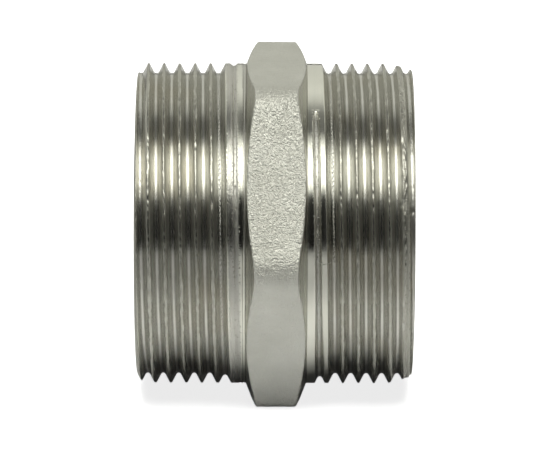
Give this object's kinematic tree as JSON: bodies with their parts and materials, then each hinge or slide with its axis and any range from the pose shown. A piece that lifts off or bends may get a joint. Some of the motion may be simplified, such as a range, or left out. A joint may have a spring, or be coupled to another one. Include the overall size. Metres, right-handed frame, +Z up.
{
  "type": "hex nipple",
  "caption": "Stainless steel hex nipple: a short rounded hexagon between two male ends with parallel pipe thread, and a straight round passage through it.",
  "frame": {"origin": "on the nipple's axis, midway between the two sides of the hexagon", "axes": "+X along the axis towards the right male end, +Z up with one flat of the hexagon facing straight down"},
  "size_m": [0.0409, 0.056, 0.049],
  "materials": {
    "cast_steel": "satin",
    "turned_steel": "polished"
  },
  "bodies": {
    "root": {"hex_collar": "cast_steel", "left_male_end": "turned_steel", "right_male_end": "turned_steel"}
  },
  "joints": []
}
